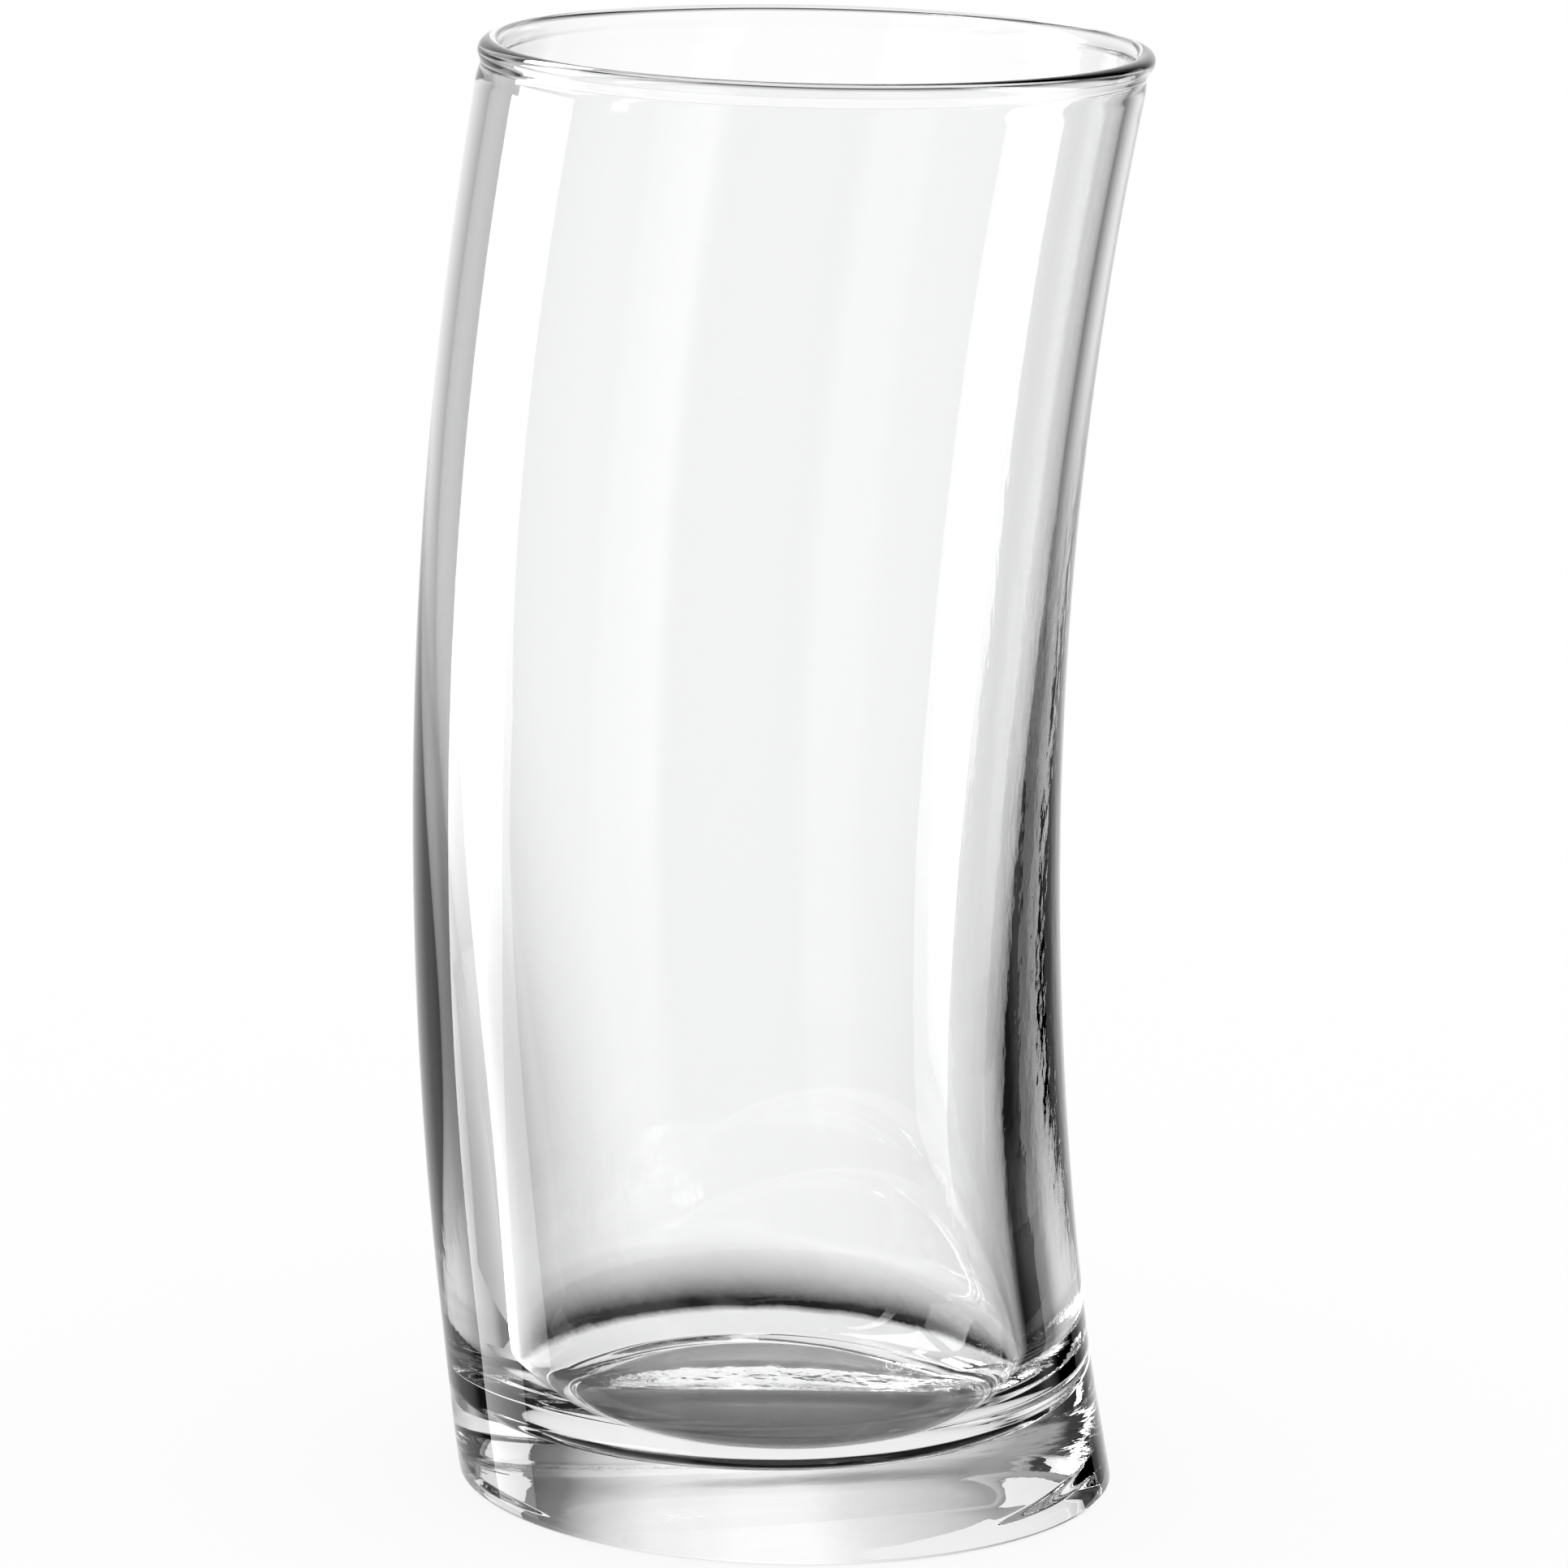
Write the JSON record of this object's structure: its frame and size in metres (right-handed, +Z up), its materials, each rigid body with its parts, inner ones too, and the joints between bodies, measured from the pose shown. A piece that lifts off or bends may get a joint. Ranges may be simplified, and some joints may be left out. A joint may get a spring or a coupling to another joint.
{
  "type": "highball glass",
  "caption": "Tall clear drinking glass with a gently bent cylindrical body, a heavy base, a wall that thins upwards and a rounded fire-polished lip.",
  "frame": {"origin": "middle of the flat ring that the glass stands on", "axes": "+Z up through the mouth; the body is bent in the XZ plane and bulges towards -X"},
  "size_m": [0.0692, 0.063, 0.14],
  "materials": {
    "clear_glass": "clear colourless soda-lime glass, fire-polished and glossy, with faint mould waviness"
  },
  "bodies": {
    "root": {"base": "clear_glass", "wall": "clear_glass", "rim": "clear_glass"}
  },
  "joints": []
}
